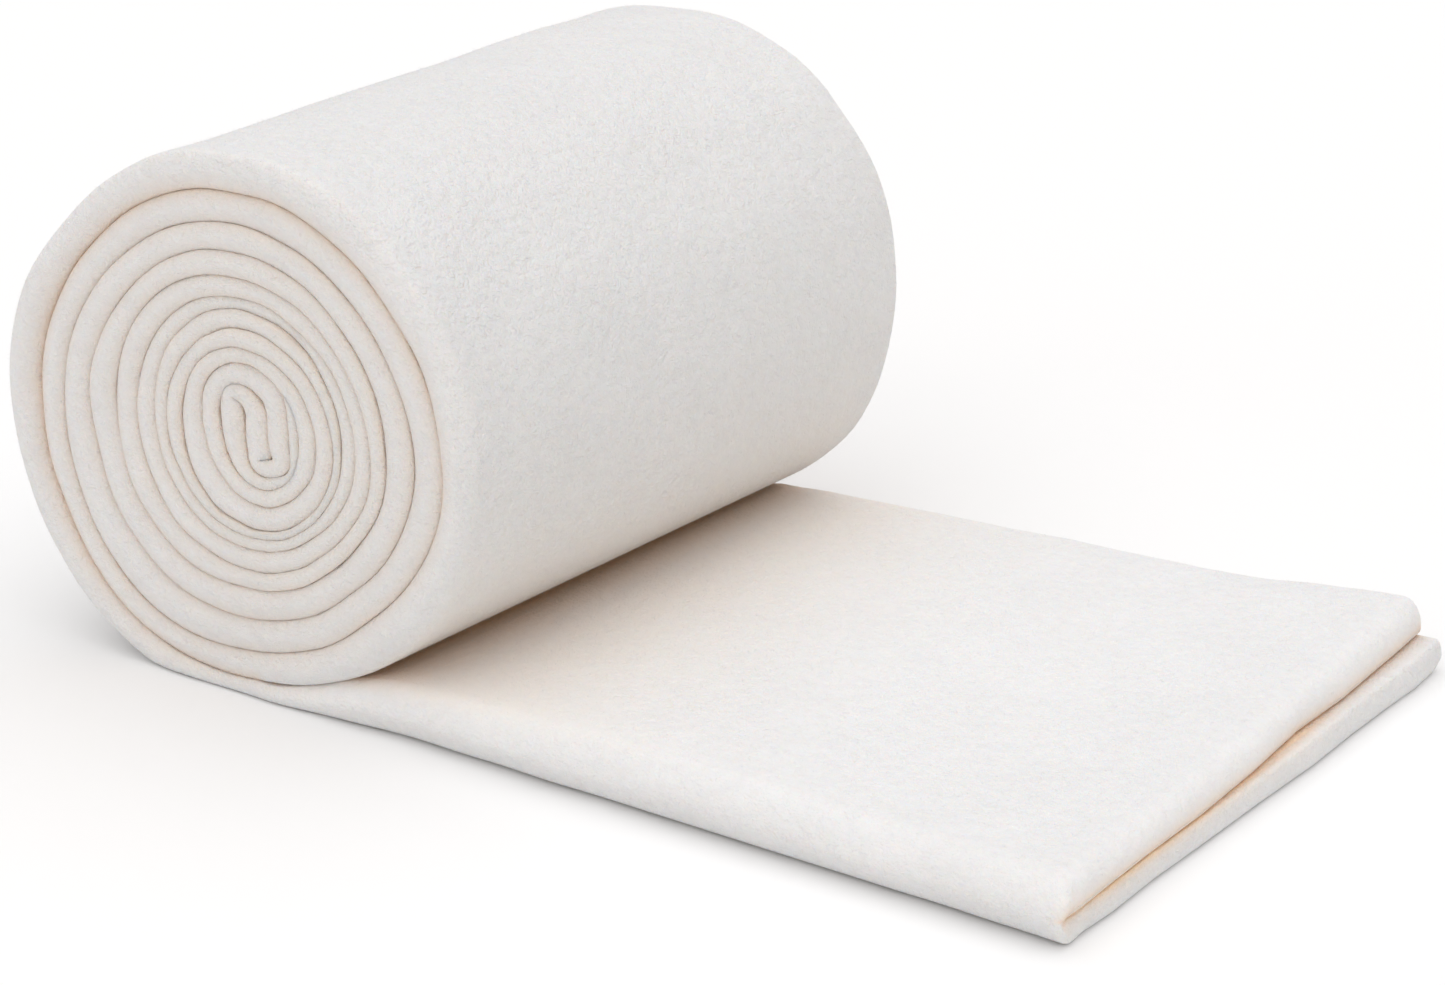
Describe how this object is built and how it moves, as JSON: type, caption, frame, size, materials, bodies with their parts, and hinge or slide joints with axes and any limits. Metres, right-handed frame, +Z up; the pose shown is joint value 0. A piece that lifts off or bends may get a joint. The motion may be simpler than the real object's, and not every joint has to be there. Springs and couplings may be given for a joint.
{
  "type": "roll of quilt batting",
  "caption": "Soft felted batting, folded in two along its length and rolled up, with its last stretch left flat on the surface.",
  "frame": {"origin": "on the surface below the roll, at the middle of its width", "axes": "+X along the loose end away from the roll, +Y from the folded edge to the open edges, +Z up"},
  "size_m": [0.4031, 0.229, 0.1835],
  "materials": {
    "batting": "matte, soft needled fibre felt"
  },
  "bodies": {
    "root": {"wound_roll": "batting", "loose_end": "batting"}
  },
  "joints": []
}
